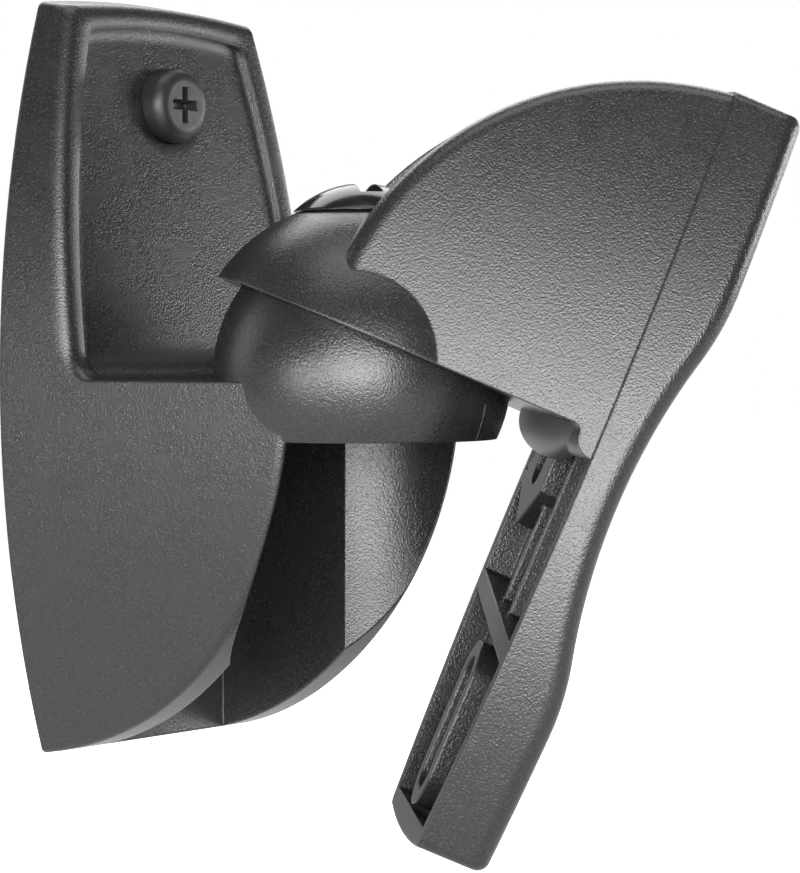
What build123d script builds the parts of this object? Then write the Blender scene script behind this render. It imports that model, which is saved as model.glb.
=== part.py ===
# Wall bracket for a small loudspeaker, with a ball that lets the arm turn and tilt.
# Frame: origin on the wall plane, half-way between the two wall screws.
# +X points away from the wall, +Z points up, Y = 0 is the bracket's own symmetry plane.
# The arm, its plate and the clamp screw are drawn about the ball centre, with the arm along +X,
# and are then moved to the turned and tilted pose that the bracket is shown in.

import os
from math import cos, radians, sin, sqrt, tan

from build123d import *

# Barrel-shaped plates, measured at the wall and at the speaker
wall_height = 108.0
wall_width_middle = 56.0
wall_width_end = 40.0
speaker_height = 109.4
speaker_width_middle = 58.4
speaker_width_end = 42.4
speaker_drop = 0.7
plate_end_crown = 1.2
plate_corner = 1.8
side_taper = 10.8

# Wall bracket
cheek_front_radius = 53.4
cheek_reach = 46.2
shelf_height = 0.0
shelf_thickness = 8.1
shelf_blend = 5.0
rim_depth_top = 5.4
rim_depth_shelf = 12.1
rim_width = 3.2
edge_round = 1.2
recess_depth = 1.2
recess_corner = 1.8
cavity_half_width = 12.4
cavity_scoop_inset = 0.3
back_wall = 5.4
moulded_wall = 2.6

# Ball, and the hood that runs on it
ball_centre = (43.5, 0.0, 0.8)
ball_radius = 20.8
hood_clearance = 0.3
hood_wall = 3.2
hood_edge = 4.7
turn_angle = 44.6
tilt_down = 23.1
tilt_up = 12.0

# Arm
arm_length = 30.0
arm_top_radius = 44.8
arm_back_reach = 9.6
arm_round = 2.6
channel_half_width = 11.5
channel_end = 18.0
channel_corner = 3.0
toe_depth = 2.8
toe_fillet = 1.0
lip_radius = 5.2
lip_half_length = 25.0
lip_inset = 1.8

# Clamp screw and nut on the ball's upright axis
clamp_shank = 6.0
clamp_play = 0.5
clamp_head_radius = 9.6
clamp_head_top = 26.6
clamp_seat_gap = 0.3
coin_slot_width = 3.2
coin_slot_depth = 1.4
coin_slot_angle = -36.0
nut_across_flats = 10.0
nut_height = 5.0
nut_clearance = 0.1
thread_play = 0.1

# Wall screws
screw_spacing = 80.0
screw_shank = 5.4
screw_neck_relief = 0.3
screw_tip_share = 0.33
screw_hole_play = 0.4
screw_head = 10.8
screw_head_height = 4.1
screw_head_round = 1.9
screw_behind_wall = 17.0
screw_point = 4.0
screw_seat_upper = 5.6
screw_seat_margin = 0.3
cross_span = 5.2
cross_width = 1.4
cross_depth = 2.2
cross_taper = 10.0

# Speaker plate
speaker_plate_depth = 10.0
speaker_rim = 2.2
pocket_depth = 4.2
pocket_top = 2.0
scoop_length = 64.0
scoop_depth = 4.1
scoop_height = -3.0
scoop_end_round = 42.0
scoop_edge_round = 2.4
slot_width = 6.5
slot_wall = 2.2
lower_slot = (-50.4, -30.0)
upper_slot = (-4.8, 16.0)
upper_slot_offset = 13.3
boss_half_width = 9.6
boss_shoulder = -5.3
boss_tip = -10.7
bridge_height = -4.0
bridge_width = 2.0
diagonal_rib_height = -23.8
diagonal_rib_angle = 7.9
diagonal_rib_width = 3.0
rail_rise = 2.4
rail_width = 1.2
rail_places = (-2.2, 7.0)
rail_low = -23.0

# Screws that hold the speaker plate on the arm
plate_screw_shank = 3.5
plate_screw_head = 7.0
plate_screw_head_height = 2.4
plate_screw_head_round = 1.0
plate_screw_point = 2.0
plate_screw_grip = 6.0
plate_screw_length = 15.0
plate_screw_heights = (24.0, 36.0)


def side_arc_radius(middle, end, height):
    """Radius of the arc down a plate's side, from its widths at the middle and at the ends."""
    return (height**2 + (middle - end) ** 2) / (middle - end) / 4


wall_top = wall_height / 2 + plate_end_crown
arm_top = speaker_height / 2 - speaker_drop
ball_bottom = shelf_height - shelf_thickness
hood_inner = ball_radius + hood_clearance
hood_outer = hood_inner + hood_wall
speaker_face = arm_length + speaker_plate_depth
seam_narrowing = 2 * speaker_plate_depth * tan(radians(side_taper))
slot_half_gap = clamp_shank / 2 + clamp_play
ball_x, ball_y, ball_z = ball_centre
cavity_scoop = sqrt(ball_radius**2 - (ball_z - ball_bottom) ** 2) - cavity_scoop_inset
screw_height = screw_spacing / 2
dome_base = sqrt((hood_outer + clamp_seat_gap) ** 2 - clamp_head_radius**2)
dome_radius = (clamp_head_radius**2 + (clamp_head_top - dome_base) ** 2) / (clamp_head_top - dome_base) / 2
dome_shoulder_r = clamp_head_radius / 2
dome_shoulder = (dome_shoulder_r, clamp_head_top - dome_radius + sqrt(dome_radius**2 - dome_shoulder_r**2))
slot_front = hood_outer * sin(radians(tilt_up)) + slot_half_gap + clamp_play
slot_back = hood_outer * sin(radians(tilt_down)) + slot_half_gap + clamp_play
seam_width_middle = speaker_width_middle - seam_narrowing
seam_width_end = speaker_width_end - seam_narrowing
pocket_low = -speaker_height / 2 - speaker_drop + speaker_rim
pocket_side_radius = side_arc_radius(seam_width_middle, seam_width_end, speaker_height) - speaker_rim
pocket_side_offset = pocket_side_radius - seam_width_middle / 2 + speaker_rim
boss_sides = (upper_slot_offset - boss_half_width, upper_slot_offset + boss_half_width)
lip_centre = arm_length - lip_inset
scoop_radius = (scoop_length**2 / 4 + scoop_depth**2) / scoop_depth / 2
scoop_end_share = scoop_end_round / scoop_radius
scoop_bend_x = speaker_face - scoop_end_share * scoop_depth
scoop_bend_z = (1 - scoop_end_share) * scoop_length / 2
seam_plane = Plane((arm_length, 0, 0), x_dir=(0, -1, 0), z_dir=(-1, 0, 0))
face_plane = Plane((speaker_face, 0, 0), x_dir=(0, -1, 0), z_dir=(-1, 0, 0))
plate_back = Plane((arm_length, 0, 0), x_dir=(0, 1, 0), z_dir=(1, 0, 0))
ball_place = Location(ball_centre)
arm_pose = ball_place * Rotation(0, 0, turn_angle) * Rotation(0, tilt_down, 0)
beyond = 2 * wall_height


def tapered_barrel(plane, middle, end, height, depth, drop=0.0):
    """Prism on a plane with two bowed, tapered sides, as wide as asked at its middle and ends."""
    side_radius = side_arc_radius(middle, end, height)
    side_offset = side_radius - middle / 2
    with BuildPart() as barrel:
        with BuildSketch(plane):
            with Locations((-side_offset, -drop)):
                Circle(side_radius)
            with Locations((side_offset, -drop)):
                Circle(side_radius, mode=Mode.INTERSECT)
        extrude(amount=depth, taper=side_taper)
    return barrel.part


def plate_outline(middle, end, height, drop=0.0, tail=0.0):
    """Barrel-shaped outline of a plate, crowned at both ends, with a longer lower end if asked."""
    low = -height / 2 - drop - tail
    high = height / 2 - drop
    side_radius = side_arc_radius(middle, end, height)
    low_end = middle + 2 * (sqrt(side_radius**2 - (height / 2 + tail) ** 2) - side_radius)
    with BuildSketch() as outline:
        with BuildLine():
            ThreePointArc((low_end / 2, low), (middle / 2, -drop), (end / 2, high))
            ThreePointArc((end / 2, high), (0, high + plate_end_crown), (-end / 2, high))
            ThreePointArc((-end / 2, high), (-middle / 2, -drop), (-low_end / 2, low))
            ThreePointArc((-low_end / 2, low), (0, low - plate_end_crown), (low_end / 2, low))
        make_face()
    return outline.sketch


def wall_blank(inset=0.0):
    """Tapered block on the wall plate's outline, set in all round, with a tail below the round front."""
    with BuildPart() as blank:
        with BuildSketch(Plane.YZ):
            add(
                plate_outline(
                    wall_width_middle - 2 * inset,
                    wall_width_end - 2 * inset,
                    wall_height - 2 * inset,
                    tail=cheek_reach * tan(radians(side_taper)),
                )
            )
        extrude(amount=cheek_reach, taper=side_taper)
    return blank.part


def runs_from_plate(edge):
    """True for the corner edges of a tapered plate, which run along X."""
    return abs(edge.tangent_at(0.5).X) > cos(radians(2 * side_taper))


def wall_side(recess=0.0):
    """Side view of the wall bracket, X across and Z up: sloped plate, shelf and round front."""
    foot = (rim_depth_shelf - recess, shelf_height)
    front = (cheek_reach, shelf_height)
    with BuildSketch() as side:
        with BuildLine():
            Polyline((0, -wall_height / 2), (0, wall_top), (rim_depth_top - recess, wall_top), foot, front)
            RadiusArc(front, (0, -wall_height / 2), cheek_front_radius)
        make_face()
        fillet(side.vertices().sort_by_distance(foot)[0], shelf_blend)
    return side.sketch


def cheek_side(inset):
    """Side view of the hollow in a wall cheek, set in from the round front and the shelf."""
    top = ball_bottom - inset
    bottom = (0, -wall_height / 2 + inset)
    front = (cheek_reach - inset, top)
    with BuildSketch() as side:
        with BuildLine():
            Polyline(bottom, (0, top), front)
            RadiusArc(front, bottom, cheek_front_radius - inset)
        make_face()
    return side.sketch


def arm_side(inset=0.0):
    """Side view of the arm, X across and Z up: round top and flat underside."""
    top = (arm_length, arm_top - inset)
    back = (-arm_back_reach + inset, hood_edge + inset)
    with BuildSketch() as side:
        with BuildLine():
            RadiusArc(back, top, arm_top_radius - inset)
            Polyline(top, (arm_length, hood_edge + inset), back)
        make_face()
    return side.sketch


def toe_side():
    """Side view of the toe that hangs below the arm's underside along the speaker plate."""
    low = (arm_length, hood_edge - toe_fillet - toe_depth)
    bend = (arm_length - toe_depth, hood_edge - toe_fillet)
    start = (arm_length - toe_depth - toe_fillet, hood_edge)
    with BuildSketch() as side:
        with BuildLine():
            RadiusArc(low, bend, toe_depth)
            RadiusArc(bend, start, -toe_fillet)
            Polyline(start, (arm_length, hood_edge), low)
        make_face()
    return side.sketch


def scoop_side():
    """Side view of the scoop in the speaker plate: round floor, and round shoulders at both ends."""
    ends = [(speaker_face, side * scoop_length / 2) for side in (1, -1)]
    bends = [(scoop_bend_x, side * scoop_bend_z) for side in (1, -1)]
    with BuildSketch() as side:
        with BuildLine():
            RadiusArc(ends[0], bends[0], scoop_end_round)
            ThreePointArc(bends[0], (speaker_face - scoop_depth, 0), bends[1])
            RadiusArc(bends[1], ends[1], scoop_end_round)
            Polyline(ends[1], (beyond, -scoop_length / 2), (beyond, scoop_length / 2), ends[0])
        make_face()
    return side.sketch


def on_plate_front(edge):
    """True for the edges where the scoop runs out at the speaker plate's long sides."""
    middle = edge.position_at(0.5)
    in_scoop = abs(middle.Z - scoop_height) < scoop_length / 2
    return in_scoop and abs(middle.Y) > seam_width_end / 2 and middle.X > arm_length + pocket_depth


def on_plate_corner(edge):
    """True for the four corner edges of the speaker plate."""
    return runs_from_plate(edge) and abs(edge.position_at(0.5).Z) > scoop_length / 2


def on_rounded_edge(edge):
    """True for the front edges of the wall cheeks and those round the front of the upper plate."""
    middle = edge.position_at(0.5)
    on_cheek = middle.Z < ball_bottom and middle.X > rim_depth_shelf and abs(middle.Y) > cavity_half_width
    on_rim = middle.Z > shelf_height and middle.X > rim_depth_top - edge_round
    return on_cheek or (on_rim and edge.geom_type != GeomType.LINE)


def on_arm_top(edge):
    """True for the two edges where the arm's round top meets its sides."""
    middle = edge.position_at(0.5)
    return middle.Z > hood_edge and middle.X < arm_length - arm_round and abs(middle.Y) > channel_half_width


def pan_screw(seat, grip, length, shank, head, head_height, head_round, point):
    """Pan-head screw along -X, its head seated at x = seat, plain over the grip and then threaded."""
    recess_scale = head / screw_head
    with BuildPart() as screw:
        with BuildSketch(Plane.YZ.offset(seat)):
            Circle(head / 2)
        extrude(amount=head_height)
        fillet(screw.faces().sort_by(Axis.X)[-1].edges(), head_round)
        with BuildSketch(Plane.YZ.offset(seat)):
            Circle(shank / 2 - screw_neck_relief)
        extrude(amount=-grip)
        with BuildSketch(Plane.YZ.offset(seat - grip)):
            Circle(shank / 2)
        extrude(amount=grip - length)
        chamfer(screw.faces().sort_by(Axis.X)[0].edges(), point, shank * screw_tip_share)
        with BuildSketch(Plane.YZ.offset(seat + head_height)):
            Rectangle(cross_span * recess_scale, cross_width * recess_scale)
            Rectangle(cross_width * recess_scale, cross_span * recess_scale)
        extrude(amount=-cross_depth * recess_scale, taper=cross_taper, mode=Mode.SUBTRACT)
    return screw.part


# Hollow of the wall cheeks, open to the wall and clear of the cavity between them
with BuildPart() as cheek_hollow:
    add(wall_blank(moulded_wall))
    with BuildSketch(Plane.XZ):
        add(cheek_side(moulded_wall))
    extrude(amount=beyond, both=True, mode=Mode.INTERSECT)
    with BuildSketch(Plane.XY):
        Rectangle(beyond, 2 * (cavity_half_width + moulded_wall))
        with Locations((ball_x, ball_y)):
            Circle(cavity_scoop + moulded_wall)
    extrude(amount=beyond, both=True, mode=Mode.SUBTRACT)

# Recess in the sloped upper plate, blended at its foot into the shelf
with BuildPart() as plate_recess:
    add(wall_blank(rim_width))
    fillet(plate_recess.edges().filter_by(runs_from_plate).group_by(Axis.Z)[-1], recess_corner)
    with BuildSketch(Plane.XZ):
        with Locations((0, shelf_height)):
            Rectangle(beyond, beyond, align=(Align.MIN, Align.MIN))
        add(wall_side(recess_depth), mode=Mode.SUBTRACT)
    extrude(amount=beyond, both=True, mode=Mode.INTERSECT)

# Ball, cut flat level with the underside of the shelf
with BuildPart() as ball:
    with Locations(ball_centre):
        Sphere(ball_radius)
    split(bisect_by=Plane.XY.offset(ball_bottom), keep=Keep.TOP)

# Body below the shelf, with a crisp upper edge
with BuildPart() as lower_body:
    add(wall_blank())
    with BuildSketch(Plane.XZ):
        add(wall_side())
        with Locations((0, shelf_height)):
            Rectangle(beyond, beyond, align=(Align.CENTER, Align.MIN), mode=Mode.SUBTRACT)
    extrude(amount=beyond, both=True, mode=Mode.INTERSECT)
    fillet(lower_body.edges().filter_by(on_rounded_edge), edge_round)

with BuildPart() as wall_bracket:
    add(wall_blank())
    fillet(wall_bracket.edges().filter_by(runs_from_plate).group_by(Axis.Z)[-1], plate_corner)
    with BuildSketch(Plane.XZ):
        add(wall_side())
    extrude(amount=beyond, both=True, mode=Mode.INTERSECT)
    fillet(wall_bracket.edges().filter_by(on_rounded_edge), edge_round)
    add(lower_body.part)
    add(plate_recess.part, mode=Mode.SUBTRACT)
    # Cavity below the shelf, open to the front and to the bottom, scooped out under the ball
    with BuildSketch(Plane.XY.offset(ball_bottom)):
        with Locations((back_wall, 0)):
            Rectangle(beyond, 2 * cavity_half_width, align=(Align.MIN, Align.CENTER))
        with Locations((ball_x, ball_y)):
            Circle(cavity_scoop)
    extrude(amount=-beyond, mode=Mode.SUBTRACT)
    add(ball.part)
    add(cheek_hollow.part, mode=Mode.SUBTRACT)
    # Bore of the clamp screw, with the nut's pocket from below
    with Locations(ball_centre):
        Hole(clamp_shank / 2 + clamp_play)
    with BuildSketch(Plane.XY.offset(ball_bottom)):
        with Locations((ball_x, ball_y)):
            RegularPolygon(nut_across_flats / 2 + nut_clearance, 6, major_radius=False)
    extrude(amount=nut_height, mode=Mode.SUBTRACT)
    # Wall screw holes, the upper one with a flat seat
    with BuildSketch(Plane.YZ):
        with Locations((0, screw_height), (0, -screw_height)):
            Circle(screw_shank / 2 + screw_hole_play)
    extrude(amount=cheek_reach, mode=Mode.SUBTRACT)
    with BuildSketch(Plane.YZ.offset(screw_seat_upper)):
        with Locations((0, screw_height)):
            Circle(screw_head / 2 + screw_seat_margin)
    extrude(amount=cheek_reach, mode=Mode.SUBTRACT)

screws = []
for name, seat, height in (
    ("wall_screw_upper", screw_seat_upper, screw_height),
    ("wall_screw_lower", back_wall, -screw_height),
):
    screw = pan_screw(
        seat,
        seat,
        seat + screw_behind_wall,
        screw_shank,
        screw_head,
        screw_head_height,
        screw_head_round,
        screw_point,
    ).moved(Location((0, 0, height)))
    screw.label = name
    screws.append(screw)

# Clamp screw: domed head that follows the hood, coin slot, plain shank down to the nut
with BuildPart() as clamp_screw:
    with BuildSketch(Plane.XZ):
        with BuildLine():
            ThreePointArc((0, clamp_head_top), dome_shoulder, (clamp_head_radius, dome_base))
            Polyline((clamp_head_radius, dome_base), (clamp_head_radius, 0), (0, 0), (0, clamp_head_top))
        make_face()
    revolve(axis=Axis.Z)
    Sphere(hood_outer + clamp_seat_gap, mode=Mode.SUBTRACT)
    with BuildSketch(Plane.XY.offset(clamp_head_top)):
        Rectangle(beyond, coin_slot_width, rotation=coin_slot_angle)
    extrude(amount=-coin_slot_depth, mode=Mode.SUBTRACT)
    with BuildSketch(Plane.XY.offset(ball_bottom - ball_z)):
        Circle(clamp_shank / 2)
    extrude(until=Until.NEXT)
clamp_screw.part = clamp_screw.part.moved(ball_place)

with BuildPart() as clamp_nut:
    with BuildSketch(Plane.XY.offset(ball_bottom)):
        with Locations((ball_x, ball_y)):
            RegularPolygon(nut_across_flats / 2, 6, major_radius=False)
            Circle(clamp_shank / 2 + thread_play, mode=Mode.SUBTRACT)
    extrude(amount=nut_height)

# Hood cap that is fused with the arm's cheeks
with BuildPart() as hood_cap:
    Sphere(hood_outer)
    split(bisect_by=Plane.XY.offset(hood_edge), keep=Keep.TOP)

# Hollow of the arm's cheeks, open to the speaker plate
with BuildPart() as arm_hollow:
    add(
        tapered_barrel(
            seam_plane,
            seam_width_middle - 2 * moulded_wall,
            seam_width_end - 2 * moulded_wall,
            speaker_height - 2 * moulded_wall,
            arm_length + arm_back_reach,
            speaker_drop,
        )
    )
    with BuildSketch(Plane.XZ):
        add(arm_side(moulded_wall))
    extrude(amount=beyond, both=True, mode=Mode.INTERSECT)
    with BuildSketch(Plane.XY):
        Rectangle(beyond, 2 * (channel_half_width + moulded_wall))
    extrude(amount=beyond, both=True, mode=Mode.SUBTRACT)
    Sphere(hood_outer + moulded_wall, mode=Mode.SUBTRACT)

with BuildPart() as arm:
    add(
        tapered_barrel(
            seam_plane,
            seam_width_middle,
            seam_width_end,
            speaker_height,
            arm_length + arm_back_reach,
            speaker_drop,
        )
    )
    with BuildSketch(Plane.XZ):
        add(arm_side())
        add(toe_side())
    extrude(amount=beyond, both=True, mode=Mode.INTERSECT)
    fillet(arm.edges().filter_by(on_arm_top), arm_round)
    # Channel between the cheeks, where the clamp screw's head is reached
    with BuildSketch(Plane.XY.offset(hood_edge)) as channel:
        with Locations((channel_end, 0)):
            Rectangle(beyond, 2 * channel_half_width, align=(Align.MAX, Align.CENTER))
        fillet(channel.vertices().group_by(Axis.X)[-1], channel_corner)
    extrude(amount=beyond, mode=Mode.SUBTRACT)
    add(hood_cap.part)
    # Bowed lip across the arm, between its two toes
    with BuildSketch(Plane.XY.offset(hood_edge)):
        with BuildLine():
            ThreePointArc(
                (lip_centre, -lip_half_length),
                (lip_centre - lip_radius, 0),
                (lip_centre, lip_half_length),
            )
            Line((lip_centre, lip_half_length), (lip_centre, -lip_half_length))
        make_face()
    revolve(axis=Axis((lip_centre, 0, hood_edge), (0, 1, 0)))
    split(bisect_by=seam_plane, keep=Keep.TOP)
    add(arm_hollow.part, mode=Mode.SUBTRACT)
    Sphere(hood_inner, mode=Mode.SUBTRACT)
    # Slot that lets the hood tilt past the clamp screw
    with BuildSketch(Plane.XY):
        with Locations(((slot_front - slot_back) / 2, 0)):
            SlotOverall(slot_front + slot_back, 2 * slot_half_gap)
    extrude(amount=beyond, mode=Mode.SUBTRACT)
    # Pilot holes of the plate's screws
    with BuildSketch(seam_plane):
        with Locations(*[(0, height) for height in plate_screw_heights]):
            Circle(plate_screw_shank / 2 + thread_play)
    extrude(amount=plate_screw_length - plate_screw_grip, mode=Mode.SUBTRACT)

# Outline of the pocket in the plate's back, one rim inside the plate's own outline
with BuildSketch() as pocket_outline:
    for side in (-1, 1):
        with Locations((side * pocket_side_offset, -speaker_drop)):
            Circle(pocket_side_radius, mode=Mode.ADD if side < 0 else Mode.INTERSECT)
    with Locations((0, pocket_top)):
        Rectangle(beyond, pocket_top - pocket_low, align=(Align.CENTER, Align.MAX), mode=Mode.INTERSECT)

with BuildPart() as speaker_plate:
    add(
        tapered_barrel(
            face_plane,
            speaker_width_middle,
            speaker_width_end,
            speaker_height,
            speaker_plate_depth,
            speaker_drop,
        )
    )
    with BuildSketch(face_plane):
        add(plate_outline(speaker_width_middle, speaker_width_end, speaker_height, speaker_drop))
    extrude(amount=speaker_plate_depth, mode=Mode.INTERSECT)
    # Shallow scoop across the speaker's side, rounded off into the flat ends
    with BuildSketch(Plane.XZ):
        with Locations((0, scoop_height)):
            add(scoop_side())
    extrude(amount=beyond, both=True, mode=Mode.SUBTRACT)
    fillet(speaker_plate.edges().filter_by(on_plate_front), scoop_edge_round)
    fillet(speaker_plate.edges().filter_by(on_plate_corner), plate_corner)
    # Pocket in the back, leaving the rim, the lower slot's wall, the upper slot's boss and two ribs
    with BuildSketch(plate_back):
        add(pocket_outline.sketch)
        with Locations((0, sum(lower_slot) / 2)):
            SlotOverall(
                lower_slot[1] - lower_slot[0] + 2 * slot_wall,
                slot_width + 2 * slot_wall,
                90,
                mode=Mode.SUBTRACT,
            )
        with Locations((0, diagonal_rib_height)):
            Rectangle(beyond, diagonal_rib_width, rotation=diagonal_rib_angle, mode=Mode.SUBTRACT)
        Polygon(
            (boss_sides[0], pocket_top),
            (boss_sides[0], boss_shoulder),
            (upper_slot_offset, boss_tip),
            (boss_sides[1], boss_shoulder),
            (boss_sides[1], pocket_top),
            align=None,
            mode=Mode.SUBTRACT,
        )
        with Locations((upper_slot_offset, bridge_height)):
            Rectangle(beyond, bridge_width, align=(Align.MIN, Align.CENTER), mode=Mode.SUBTRACT)
    extrude(amount=pocket_depth, mode=Mode.SUBTRACT)
    # Rails on the pocket's floor
    with BuildSketch(plate_back.offset(pocket_depth)):
        for place in rail_places:
            with Locations((place, pocket_top)):
                Rectangle(rail_width, pocket_top - rail_low, align=(Align.CENTER, Align.MAX))
    extrude(amount=-rail_rise)
    # Slots for the speaker's screws
    with BuildSketch(plate_back):
        for offset, (low, high) in ((0, lower_slot), (upper_slot_offset, upper_slot)):
            with Locations((offset, (low + high) / 2)):
                SlotOverall(high - low, slot_width, 90)
    extrude(amount=speaker_plate_depth, mode=Mode.SUBTRACT)
    # Counterbored holes of the screws into the arm
    with BuildSketch(plate_back):
        with Locations(*[(0, height) for height in plate_screw_heights]):
            Circle(plate_screw_shank / 2 + screw_hole_play)
    extrude(amount=speaker_plate_depth, mode=Mode.SUBTRACT)
    with BuildSketch(plate_back.offset(plate_screw_grip)):
        with Locations(*[(0, height) for height in plate_screw_heights]):
            Circle(plate_screw_head / 2 + screw_hole_play)
    extrude(amount=speaker_plate_depth, mode=Mode.SUBTRACT)

arm.part = arm.part.moved(arm_pose)
speaker_plate.part = speaker_plate.part.moved(arm_pose)
wall_bracket.part.label = "wall_bracket"
clamp_screw.part.label = "clamp_screw"
clamp_nut.part.label = "clamp_nut"
arm.part.label = "arm"
speaker_plate.part.label = "speaker_plate"

plate_screw_seat = arm_length + plate_screw_grip
for name, height in zip(("plate_screw_lower", "plate_screw_upper"), plate_screw_heights):
    screw = pan_screw(
        plate_screw_seat,
        plate_screw_grip,
        plate_screw_length,
        plate_screw_shank,
        plate_screw_head,
        plate_screw_head_height,
        plate_screw_head_round,
        plate_screw_point,
    ).moved(arm_pose * Location((0, 0, height)))
    screw.label = name
    screws.append(screw)

os.makedirs("parts", exist_ok=True)
for piece in (wall_bracket.part, clamp_screw.part, clamp_nut.part, arm.part, speaker_plate.part, *screws):
    export_step(piece, f"parts/{piece.label}.step")
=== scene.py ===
from math import asin, cos, pi, radians, sin

import bpy
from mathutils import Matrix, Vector


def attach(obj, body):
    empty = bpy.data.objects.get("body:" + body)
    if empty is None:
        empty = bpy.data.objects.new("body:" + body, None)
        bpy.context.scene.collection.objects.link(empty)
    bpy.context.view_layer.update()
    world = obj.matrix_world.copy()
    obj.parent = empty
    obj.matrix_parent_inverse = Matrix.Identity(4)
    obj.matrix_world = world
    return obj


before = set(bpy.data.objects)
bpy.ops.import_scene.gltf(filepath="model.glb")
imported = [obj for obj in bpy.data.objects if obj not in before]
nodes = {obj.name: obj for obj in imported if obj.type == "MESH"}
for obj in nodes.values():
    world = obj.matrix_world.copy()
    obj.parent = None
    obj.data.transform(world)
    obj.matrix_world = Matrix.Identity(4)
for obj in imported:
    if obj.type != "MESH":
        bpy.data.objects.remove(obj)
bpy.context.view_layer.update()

print("frame loaded:", len(nodes), "nodes")

# where things are, in the part's own frame
bracket = {
    "ball": Vector((0.0435, 0.0, 0.0008)),
    "ballRadius": 0.0208,
    "ballBottom": -0.0081,
    "turn": radians(44.6),
    "tilt": radians(23.1),
    "seam": 0.030,  # arm's end, along the arm from the ball
}

# the Mix node's colour sockets share their names with others, so they go by number
mixSockets = {"first": 6, "second": 7, "result": 2}


# small helpers for node trees
def feed(tree, source, target):
    if isinstance(source, bpy.types.NodeSocket):
        tree.links.new(source, target)
    else:
        target.default_value = source


def addNode(tree, kind, inputs=None, **settings):
    made = tree.nodes.new(kind)
    for name, value in settings.items():
        setattr(made, name, value)
    for name, value in (inputs or {}).items():
        feed(tree, value, made.inputs[name])
    return made


def maths(tree, operation, first, second=None):
    made = addNode(tree, "ShaderNodeMath", {0: first}, operation=operation)
    if second is not None:
        feed(tree, second, made.inputs[1])
    return made.outputs[0]


def spread(tree, value, low, high, newLow=0.0, newHigh=1.0):
    ends = {"Value": value, "From Min": low, "From Max": high, "To Min": newLow, "To Max": newHigh}
    return addNode(tree, "ShaderNodeMapRange", ends, clamp=True).outputs["Result"]


def blendColour(tree, mask, first, second):
    made = addNode(tree, "ShaderNodeMix", {"Factor": mask}, data_type="RGBA")
    for place, value in (("first", first), ("second", second)):
        colour = (*value, 1.0) if isinstance(value, tuple) else value
        feed(tree, colour, made.inputs[mixSockets[place]])
    return made.outputs[mixSockets["result"]]


def startTree(name, kind, inputs, outputs):
    tree = bpy.data.node_groups.new(name, kind)
    for label, socketKind in inputs.items():
        tree.interface.new_socket(label, in_out="INPUT", socket_type=socketKind)
    for label, socketKind in outputs.items():
        tree.interface.new_socket(label, in_out="OUTPUT", socket_type=socketKind)
    return tree, tree.nodes.new("NodeGroupInput").outputs, tree.nodes.new("NodeGroupOutput").inputs


def startEffect(name, setting, outputs):
    inputs = {"Vector": "NodeSocketVector", setting: "NodeSocketFloat"}
    return startTree(name, "ShaderNodeTree", inputs, outputs)


def useGroup(tree, group, coords, **values):
    return addNode(tree, "ShaderNodeGroup", {"Vector": coords["Object"], **values}, node_tree=group)


# shared surface effects
grainShape = {
    "detail": 1.5,
    "roughness": 0.45,
    "distortion": 0.2,
    "cellScale": 0.72,
    "cellSmoothness": 0.7,
    "pebbleShare": 0.7,
    "cellShare": 0.3,
    "peaks": (0.52, 0.68),
}


def makeMouldGrain():
    outputs = {"Height": "NodeSocketFloat", "Peaks": "NodeSocketFloat"}
    tree, start, end = startEffect("mouldGrain", "Fineness", outputs)
    pebble = addNode(tree, "ShaderNodeTexNoise", {
        "Vector": start["Vector"],
        "Scale": start["Fineness"],
        "Detail": grainShape["detail"],
        "Roughness": grainShape["roughness"],
        "Distortion": grainShape["distortion"],
    })
    cells = addNode(tree, "ShaderNodeTexVoronoi", feature="SMOOTH_F1")
    feed(tree, start["Vector"], cells.inputs["Vector"])
    feed(tree, maths(tree, "MULTIPLY", start["Fineness"], grainShape["cellScale"]), cells.inputs["Scale"])
    feed(tree, grainShape["cellSmoothness"], cells.inputs["Smoothness"])
    domes = maths(tree, "SUBTRACT", 1.0, cells.outputs["Distance"])
    domes = maths(tree, "MULTIPLY", domes, grainShape["cellShare"])
    pebbles = maths(tree, "MULTIPLY", pebble.outputs["Fac"], grainShape["pebbleShare"])
    height = maths(tree, "ADD", pebbles, domes)
    feed(tree, height, end["Height"])
    feed(tree, spread(tree, height, *grainShape["peaks"]), end["Peaks"])
    return tree


wearShape = {
    "samples": 8,
    "corner": (0.02, 0.22),
    "scuffScale": 420.0,
    "scuffDetail": 3.0,
    "scuffs": (0.35, 0.65),
    "leastWear": 0.25,
}


def makeEdgeWear():
    outputs = {"Edge": "NodeSocketFloat", "Normal": "NodeSocketVector"}
    tree, start, end = startEffect("edgeWear", "Reach", outputs)
    soft = addNode(tree, "ShaderNodeBevel", {"Radius": start["Reach"]}, samples=wearShape["samples"])
    facing = addNode(tree, "ShaderNodeNewGeometry")
    both = {0: soft.outputs["Normal"], 1: facing.outputs["Normal"]}
    along = addNode(tree, "ShaderNodeVectorMath", both, operation="DOT_PRODUCT")
    corner = spread(tree, maths(tree, "SUBTRACT", 1.0, along.outputs["Value"]), *wearShape["corner"])
    scuffs = addNode(tree, "ShaderNodeTexNoise", {
        "Vector": start["Vector"],
        "Scale": wearShape["scuffScale"],
        "Detail": wearShape["scuffDetail"],
    })
    patchy = spread(tree, scuffs.outputs["Fac"], *wearShape["scuffs"], wearShape["leastWear"], 1.0)
    feed(tree, maths(tree, "MULTIPLY", corner, patchy), end["Edge"])
    feed(tree, soft.outputs["Normal"], end["Normal"])
    return tree


driftShape = {
    "broadDetail": 2.0,
    "broad": (0.3, 0.7),
    "smudgeScale": 4.5,
    "smudgeDetail": 4.0,
    "smudgeDistortion": 0.8,
    "smudge": (0.35, 0.7),
}


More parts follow.
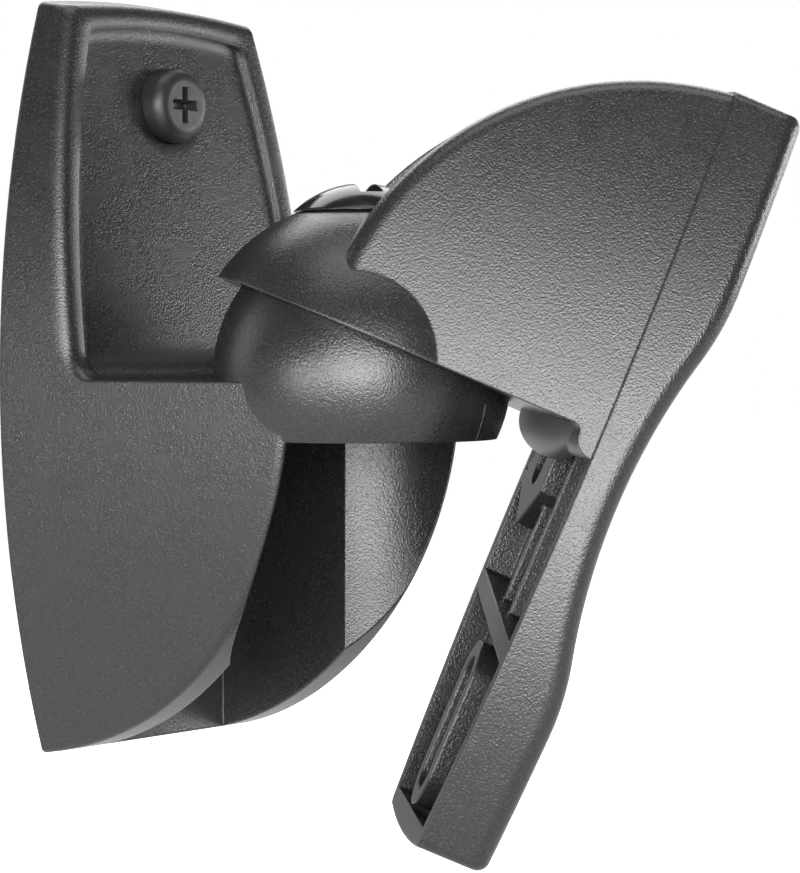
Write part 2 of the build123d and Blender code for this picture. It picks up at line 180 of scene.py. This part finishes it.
def makeToneDrift():
    outputs = {"Drift": "NodeSocketFloat", "Smudge": "NodeSocketFloat"}
    tree, start, end = startEffect("toneDrift", "Size", outputs)
    broad = addNode(tree, "ShaderNodeTexNoise", {
        "Vector": start["Vector"],
        "Scale": start["Size"],
        "Detail": driftShape["broadDetail"],
    })
    smudge = addNode(tree, "ShaderNodeTexNoise", {
        "Vector": start["Vector"],
        "Scale": maths(tree, "MULTIPLY", start["Size"], driftShape["smudgeScale"]),
        "Detail": driftShape["smudgeDetail"],
        "Distortion": driftShape["smudgeDistortion"],
    })
    feed(tree, spread(tree, broad.outputs["Fac"], *driftShape["broad"]), end["Drift"])
    feed(tree, spread(tree, smudge.outputs["Fac"], *driftShape["smudge"]), end["Smudge"])
    return tree


mouldGrain = makeMouldGrain()
edgeWear = makeEdgeWear()
toneDrift = makeToneDrift()
print("shared surface effects made")


def startMaterial(name):
    made = bpy.data.materials.new(name)
    made.use_nodes = True
    tree = made.node_tree
    tree.nodes.clear()
    skin = addNode(tree, "ShaderNodeBsdfPrincipled")
    addNode(tree, "ShaderNodeOutputMaterial", {"Surface": skin.outputs["BSDF"]})
    coords = addNode(tree, "ShaderNodeTexCoord").outputs
    return made, tree, skin.inputs, coords


def addBump(tree, height, strength, depth, normal):
    ends = {"Height": height, "Strength": strength, "Distance": depth, "Normal": normal}
    return addNode(tree, "ShaderNodeBump", ends).outputs["Normal"]


def alongArm(tree, coords):
    # coordinates about the ball with X along the arm, so a finish can follow the arm's own planes
    ends = {0: coords["Object"], 1: bracket["ball"]}
    moved = addNode(tree, "ShaderNodeVectorMath", ends, operation="SUBTRACT")
    ends = {"Vector": moved.outputs["Vector"], "Rotation": (0.0, bracket["tilt"], bracket["turn"])}
    turned = addNode(tree, "ShaderNodeVectorRotate", ends, rotation_type="EULER_XYZ", invert=True)
    return addNode(tree, "ShaderNodeSeparateXYZ", {"Vector": turned.outputs["Vector"]}).outputs


def facesArm(tree, coords):
    # how far a face looks along the arm, 1 for the planes across it and 0 for its sides
    flat = cos(bracket["tilt"])
    axis = (cos(bracket["turn"]) * flat, sin(bracket["turn"]) * flat, -sin(bracket["tilt"]))
    along = addNode(tree, "ShaderNodeVectorMath", {0: coords["Normal"], 1: axis}, operation="DOT_PRODUCT")
    return maths(tree, "ABSOLUTE", along.outputs["Value"])


def fromSeam(tree, coords):
    return maths(tree, "ABSOLUTE", maths(tree, "SUBTRACT", alongArm(tree, coords)["X"], bracket["seam"]))


lip = {
    "along": 0.0282,
    "height": 0.0047,
    "radius": 0.00525,
    "top": 0.00465,
    "halfWidth": 0.0255,
}


def lipMask(tree, coords):
    # the bowed lip under the arm is polished, without grain
    x, y, z = alongArm(tree, coords)
    dx = maths(tree, "SUBTRACT", x, lip["along"])
    dz = maths(tree, "SUBTRACT", z, lip["height"])
    squares = maths(tree, "ADD", maths(tree, "MULTIPLY", dx, dx), maths(tree, "MULTIPLY", dz, dz))
    near = maths(tree, "LESS_THAN", maths(tree, "SQRT", squares), lip["radius"])
    under = maths(tree, "LESS_THAN", z, lip["top"])
    inside = maths(tree, "LESS_THAN", maths(tree, "ABSOLUTE", y), lip["halfWidth"])
    return maths(tree, "MULTIPLY", maths(tree, "MULTIPLY", near, under), inside)


land = {"depth": 0.00012, "facing": 0.7}


def landMask(tree, coords):
    # rib tops and rim on the plate's back lie in the seam plane and are ground smooth
    near = maths(tree, "LESS_THAN", fromSeam(tree, coords), land["depth"])
    across = maths(tree, "GREATER_THAN", facesArm(tree, coords), land["facing"])
    return maths(tree, "MULTIPLY", near, across)


plateRim = {"offWall": (0.0018, 0.0042), "offBall": 0.018, "offShelf": (-0.0005, 0.005)}


def rimMask(tree, coords):
    # the wall plate's rim round the recess is a soft bead, above the shelf and clear of wall and ball
    place = addNode(tree, "ShaderNodeSeparateXYZ", {"Vector": coords["Object"]}).outputs
    offWall = spread(tree, place["X"], *plateRim["offWall"])
    offBall = maths(tree, "LESS_THAN", place["X"], plateRim["offBall"])
    offShelf = spread(tree, place["Z"], *plateRim["offShelf"])
    return maths(tree, "MULTIPLY", maths(tree, "MULTIPLY", offWall, offBall), offShelf)


seamLine = {"width": 0.00004, "unworn": 0.0008, "facing": 0.5}


def seamMask(tree, coords, reach):
    # the joint line between arm and plate, on their sides only
    near = maths(tree, "LESS_THAN", fromSeam(tree, coords), reach)
    sideways = maths(tree, "LESS_THAN", facesArm(tree, coords), seamLine["facing"])
    return maths(tree, "MULTIPLY", near, sideways)


plasticLook = {
    "tone": (0.014, 0.014, 0.015),
    "lightTone": (0.032, 0.032, 0.033),
    "wornAndHighlightTone": (0.085, 0.085, 0.088),
    "smoothTone": (0.060, 0.060, 0.062),
    # worn edges, lighter; this lighter edge colour is also a painted highlight along the edges
    "seamTone": (0.020, 0.020, 0.020),
    "fineness": 3900.0,
    "grainDepth": 0.000085,
    "grainStrength": 0.9,
    "smoothGrain": 0.08,
    "roughness": (0.25, 0.30),
    "smoothRoughness": 0.42,
    "specular": 0.68,
    "driftSize": 34.0,
    "driftShare": 0.12,
    "edgeReach": 0.0005,
    "edgeShare": 0.4,
    "rimReach": 0.0030,
    "rimShare": 0.1,
}


def makePlastic(name, smoothMask=None, softMask=None):
    look = plasticLook
    made, tree, skin, coords = startMaterial(name)
    grain = useGroup(tree, mouldGrain, coords, Fineness=look["fineness"]).outputs
    drift = useGroup(tree, toneDrift, coords, Size=look["driftSize"]).outputs
    reach = look["edgeReach"]
    worn = look["edgeShare"]
    if softMask:
        mask = softMask(tree, coords)
        reach = spread(tree, mask, 0.0, 1.0, look["edgeReach"], look["rimReach"])
        worn = maths(tree, "MULTIPLY", spread(tree, mask, 0.0, 1.0, 1.0, look["rimShare"]), worn)
    wear = useGroup(tree, edgeWear, coords, Reach=reach).outputs
    rubbed = maths(tree, "MULTIPLY", wear["Edge"], worn)
    height = grain["Height"]
    drifted = maths(tree, "MULTIPLY", drift["Drift"], look["driftShare"])
    tone = blendColour(tree, grain["Peaks"], look["tone"], look["lightTone"])
    tone = blendColour(tree, drifted, tone, look["lightTone"])
    shine = spread(tree, drift["Smudge"], 0.0, 1.0, *look["roughness"])
    if smoothMask:
        mask = smoothMask(tree, coords)
        unworn = seamMask(tree, coords, seamLine["unworn"])
        rubbed = maths(tree, "MULTIPLY", rubbed, maths(tree, "SUBTRACT", 1.0, unworn))
        tone = blendColour(tree, mask, tone, look["smoothTone"])
        shine = maths(tree, "MAXIMUM", shine, maths(tree, "MULTIPLY", mask, look["smoothRoughness"]))
        height = maths(tree, "MULTIPLY", height, spread(tree, mask, 0.0, 1.0, 1.0, look["smoothGrain"]))
    # lighter edges from wear, partly a painted edge highlight
    tone = blendColour(tree, rubbed, tone, look["wornAndHighlightTone"])
    if smoothMask:
        joint = seamMask(tree, coords, seamLine["width"])
        tone = blendColour(tree, joint, tone, look["seamTone"])
        shine = maths(tree, "MAXIMUM", shine, joint)
    feed(tree, tone, skin["Base Color"])
    feed(tree, shine, skin["Roughness"])
    feed(tree, look["specular"], skin["Specular IOR Level"])
    normal = addBump(tree, height, look["grainStrength"], look["grainDepth"], wear["Normal"])
    feed(tree, normal, skin["Normal"])
    return made


metalLook = {
    "black_screw": {
        "tone": (0.020, 0.020, 0.022),
        "worn": (0.09, 0.09, 0.095),
        "metallic": 0.0,
        "roughness": (0.36, 0.46),
        "flow": 900.0,
        "depth": 0.00001,
    },
    "gloss_black": {
        "tone": (0.014, 0.014, 0.015),
        "worn": (0.06, 0.06, 0.064),
        "metallic": 0.0,
        "roughness": (0.10, 0.20),
        "flow": 500.0,
        "depth": 0.000006,
    },
    "zinc": {
        "tone": (0.60, 0.60, 0.61),
        "worn": (0.78, 0.78, 0.78),
        "metallic": 1.0,
        "roughness": (0.28, 0.45),
        "flow": 1300.0,
        "depth": 0.000012,
    },
}
anyMetal = {
    "edgeReach": 0.0003,
    "edgeShare": 0.6,
    "driftSize": 120.0,
    "smudgeTone": 0.7,
    "flowDetail": 3.0,
    "flow": (0.3, 0.7),
    "strength": 0.5,
}


def makeMetal(slotName):
    look = metalLook[slotName]
    made, tree, skin, coords = startMaterial(slotName + "_finish")
    wear = useGroup(tree, edgeWear, coords, Reach=anyMetal["edgeReach"]).outputs
    drift = useGroup(tree, toneDrift, coords, Size=anyMetal["driftSize"]).outputs
    brushed = addNode(tree, "ShaderNodeTexNoise", {
        "Vector": coords["Object"],
        "Scale": look["flow"],
        "Detail": anyMetal["flowDetail"],
    }).outputs["Fac"]
    darker = tuple(anyMetal["smudgeTone"] * v for v in look["tone"])
    tone = blendColour(tree, drift["Smudge"], darker, look["tone"])
    rubbed = maths(tree, "MULTIPLY", wear["Edge"], anyMetal["edgeShare"])
    feed(tree, blendColour(tree, rubbed, tone, look["worn"]), skin["Base Color"])
    feed(tree, look["metallic"], skin["Metallic"])
    feed(tree, spread(tree, brushed, *anyMetal["flow"], *look["roughness"]), skin["Roughness"])
    normal = addBump(tree, brushed, anyMetal["strength"], look["depth"], wear["Normal"])
    feed(tree, normal, skin["Normal"])
    return made


finishes = {
    "wall_bracket": makePlastic("wall_plastic", softMask=rimMask),
    "arm": makePlastic("arm_plastic", smoothMask=lipMask),
    "speaker_plate": makePlastic("plate_plastic", smoothMask=landMask),
}
blackScrew = makeMetal("black_screw")
for name in ("wall_screw_upper", "wall_screw_lower", "plate_screw_lower", "plate_screw_upper"):
    finishes[name] = blackScrew
finishes["clamp_screw"] = makeMetal("gloss_black")
finishes["clamp_nut"] = makeMetal("zinc")
for name, finish in finishes.items():
    for place in nodes[name].material_slots:
        place.material = finish
print("finishes on", len(finishes), "nodes")


# pieces that Geometry Nodes make
def startShape(name, values):
    inputs = {label: "NodeSocketFloat" for label in values}
    return startTree(name, "GeometryNodeTree", inputs, {"Geometry": "NodeSocketGeometry"})


def sweepRound(tree, curve, radius, sides):
    ring = addNode(tree, "GeometryNodeCurvePrimitiveCircle", {"Resolution": sides, "Radius": radius})
    ends = {"Curve": curve, "Profile Curve": ring.outputs["Curve"], "Fill Caps": True}
    return addNode(tree, "GeometryNodeCurveToMesh", ends).outputs["Mesh"]


def closeShape(tree, end, geometry, finish):
    real = addNode(tree, "GeometryNodeRealizeInstances", {"Geometry": geometry})
    ends = {"Geometry": real.outputs["Geometry"], "Material": finish}
    coat = addNode(tree, "GeometryNodeSetMaterial", ends)
    feed(tree, coat.outputs["Geometry"], end["Geometry"])


def runShape(name, tree, values, body):
    holder = bpy.data.objects.new(name, bpy.data.meshes.new(name))
    bpy.context.scene.collection.objects.link(holder)
    modifier = holder.modifiers.new(tree.name, "NODES")
    modifier.node_group = tree
    for item in tree.interface.items_tree:
        if item.item_type == "SOCKET" and item.in_out == "INPUT":
            modifier[item.identifier] = values[item.name]
    bpy.context.view_layer.update()
    made = bpy.data.meshes.new_from_object(holder.evaluated_get(bpy.context.evaluated_depsgraph_get()))
    holder.modifiers.clear()
    holder.data = made
    made.name = name
    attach(holder, body)
    print(name, "has", len(made.polygons), "faces")


wallThread = {
    "Turns": 5.0,
    "Length": 0.0112,
    "Radius": 0.0025,
    "Ridge": 0.00042,
    "Start": -0.0126,
    "Spacing": 0.080,
}
threadSteps = {"perTurn": 28, "ridgeSides": 4, "screws": 2}


def makeThread(finish):
    tree, start, end = startShape("screwThread", wallThread)
    helix = addNode(tree, "GeometryNodeCurveSpiral", {
        "Resolution": threadSteps["perTurn"],
        "Rotations": start["Turns"],
        "Start Radius": start["Radius"],
        "End Radius": start["Radius"],
        "Height": start["Length"],
    })
    swept = sweepRound(tree, helix.outputs["Curve"], start["Ridge"], threadSteps["ridgeSides"])
    ends = {"Geometry": swept, "Rotation": (0.0, radians(90), 0.0)}
    laid = addNode(tree, "GeometryNodeTransform", ends)
    lowest = maths(tree, "MULTIPLY", start["Spacing"], -0.5)
    first = addNode(tree, "ShaderNodeCombineXYZ", {"X": start["Start"], "Z": lowest})
    step = addNode(tree, "ShaderNodeCombineXYZ", {"Z": start["Spacing"]})
    row = addNode(tree, "GeometryNodeMeshLine", {
        "Count": threadSteps["screws"],
        "Start Location": first.outputs["Vector"],
        "Offset": step.outputs["Vector"],
    })
    ends = {"Points": row.outputs["Mesh"], "Instance": laid.outputs["Geometry"]}
    placed = addNode(tree, "GeometryNodeInstanceOnPoints", ends)
    closeShape(tree, end, placed.outputs["Instances"], finish)
    return tree


runShape("wall_screw_threads", makeThread(blackScrew), wallThread, "wall")

ballSeam = {
    "Radius": bracket["ballRadius"],
    "Start": asin((bracket["ballBottom"] - bracket["ball"].z) / bracket["ballRadius"]) + radians(0.4),
    "Sweep": radians(14.5),
    "Thickness": 0.00013,
    "Azimuth": radians(5.0),
}
seamSteps = {"along": 28, "sides": 8}


def makeBallSeam(finish):
    tree, start, end = startShape("ballSeam", ballSeam)
    ends = {
        "Resolution": seamSteps["along"],
        "Radius": start["Radius"],
        "Start Angle": start["Start"],
        "Sweep Angle": start["Sweep"],
    }
    arc = addNode(tree, "GeometryNodeCurveArc", ends, mode="RADIUS")
    swept = sweepRound(tree, arc.outputs["Curve"], start["Thickness"], seamSteps["sides"])
    facing = addNode(tree, "ShaderNodeCombineXYZ", {"X": radians(90), "Z": start["Azimuth"]})
    upright = addNode(tree, "GeometryNodeTransform", {
        "Geometry": swept,
        "Rotation": facing.outputs["Vector"],
        "Translation": bracket["ball"],
    })
    closeShape(tree, end, upright.outputs["Geometry"], finish)
    return tree


runShape("ball_seam", makeBallSeam(finishes["wall_bracket"]), ballSeam, "wall")

# stage, light and camera
studio = {
    "floor": -0.125,
    "floorSize": 3.0,
    "floorTone": (0.93, 0.93, 0.93),
    "floorGlow": 0.20,
    "whiteFrom": (0.10, 0.30),
    "floorMirrored": 0.10,
    "ambient": 0.02,
    "mirrored": 0.08,
    "aim": Vector((0.050, 0.0, -0.005)),
    "distance": 0.95,
    "lamps": {
        "key": {"azimuth": -53, "elevation": 4, "size": (0.84, 0.34), "brightness": 12.0},
        "side": {"azimuth": -92, "elevation": 1, "size": (0.42, 0.18), "brightness": 12.0},
        "upper": {"azimuth": -53, "elevation": 22, "size": (0.84, 0.165), "brightness": 3.7},
        "left": {"azimuth": -117, "elevation": 2, "size": (0.42, 0.165), "brightness": 1.2},
        "fill": {"azimuth": 52, "elevation": 1, "size": (0.56, 0.22), "brightness": 8.5},
        "fillHigh": {"azimuth": 62, "elevation": 28, "size": (0.45, 0.30), "brightness": 0.4},
        "back": {"azimuth": 92, "elevation": 6, "size": (0.42, 0.30), "brightness": 3.5},
        "rim": {"azimuth": 135, "elevation": 42, "size": (0.90, 0.60), "brightness": 3.0},
        "far": {"azimuth": 140, "elevation": 7, "size": (0.60, 0.35), "brightness": 0.5},
        "behind": {"azimuth": -165, "elevation": 15, "size": (0.60, 0.50), "brightness": 1.2},
        "top": {"azimuth": -40, "elevation": 80, "size": (0.90, 0.60), "brightness": 2.0},
    },
}


def addLamp(name, lamp):
    data = bpy.data.lights.new(name + "_softbox", "AREA")
    data.shape = "RECTANGLE"
    data.size, data.size_y = lamp["size"]
    data.energy = pi * data.size * data.size_y * lamp["brightness"]
    made = bpy.data.objects.new(name + "_softbox", data)
    bpy.context.scene.collection.objects.link(made)
    around, above = radians(lamp["azimuth"]), radians(lamp["elevation"])
    toLamp = Vector((cos(around) * cos(above), sin(around) * cos(above), sin(above)))
    made.location = studio["aim"] + studio["distance"] * toLamp
    made.rotation_euler = (-toLamp).to_track_quat("-Z", "Y").to_euler()


for name, lamp in studio["lamps"].items():
    addLamp(name, lamp)


def seenDirectly(tree, share):
    # 1 for what the camera sees, less for what the surfaces mirror, 0 for the light they get
    path = addNode(tree, "ShaderNodeLightPath").outputs
    mirrored = maths(tree, "MULTIPLY", path["Is Glossy Ray"], share)
    direct = maths(tree, "MAXIMUM", path["Is Camera Ray"], mirrored)
    return maths(tree, "MAXIMUM", direct, path["Is Transmission Ray"])


def makeSky():
    world = bpy.data.worlds.new("studio_white")
    bpy.context.scene.world = world
    world.use_nodes = True
    tree = world.node_tree
    back = tree.nodes["Background"].inputs
    feed(tree, (1.0, 1.0, 1.0, 1.0), back["Color"])
    seen = seenDirectly(tree, studio["mirrored"])
    feed(tree, maths(tree, "MAXIMUM", seen, studio["ambient"]), back["Strength"])


def makeFloor():
    half = studio["floorSize"] / 2
    level = studio["floor"]
    mesh = bpy.data.meshes.new("studio_floor")
    corners = [(-half, -half, level), (half, -half, level), (half, half, level), (-half, half, level)]
    mesh.from_pydata(corners, [], [(0, 1, 2, 3)])
    made = bpy.data.objects.new("studio_floor", mesh)
    bpy.context.scene.collection.objects.link(made)
    finish = bpy.data.materials.new("studio_paper")
    finish.use_nodes = True
    tree = finish.node_tree
    tree.nodes.clear()
    paper = addNode(tree, "ShaderNodeBsdfDiffuse", {"Color": (*studio["floorTone"], 1.0)})
    # white away from the object, so that no horizon shows, and duller near it, so that its shadow does
    spot = addNode(tree, "ShaderNodeTexCoord").outputs["Object"]
    away = addNode(tree, "ShaderNodeVectorMath", {0: spot}, operation="LENGTH")
    bright = spread(tree, away.outputs["Value"], *studio["whiteFrom"], studio["floorGlow"], 1.0)
    seen = seenDirectly(tree, studio["floorMirrored"])
    glow = addNode(tree, "ShaderNodeEmission", {"Strength": maths(tree, "MULTIPLY", seen, bright)})
    both = addNode(tree, "ShaderNodeAddShader", {0: paper.outputs["BSDF"], 1: glow.outputs["Emission"]})
    addNode(tree, "ShaderNodeOutputMaterial", {"Surface": both.outputs["Shader"]})
    mesh.materials.append(finish)


makeSky()
makeFloor()

view = {
    "azimuth": radians(39.37),
    "elevation": radians(2.03),
    "distance": 0.39858,
    "target": Vector((0.05032, 0.0, -0.00768)),
    "lens": 129.9,
    "sensorWidth": 36.0,
    "clipStart": 0.01,
}
flat = cos(view["elevation"])
outward = Vector((sin(view["azimuth"]) * flat, -cos(view["azimuth"]) * flat, sin(view["elevation"])))
cameraData = bpy.data.cameras.new("photo_camera")
cameraData.sensor_fit = "HORIZONTAL"
cameraData.sensor_width = view["sensorWidth"]
cameraData.lens = view["lens"]
cameraData.clip_start = view["clipStart"]
camera = bpy.data.objects.new("photo_camera", cameraData)
bpy.context.scene.collection.objects.link(camera)
camera.location = view["target"] + outward * view["distance"]
camera.rotation_euler = (-outward).to_track_quat("-Z", "Y").to_euler()
bpy.context.scene.camera = camera
bpy.context.scene.view_settings.view_transform = "Standard"
print("stage, light and camera set")
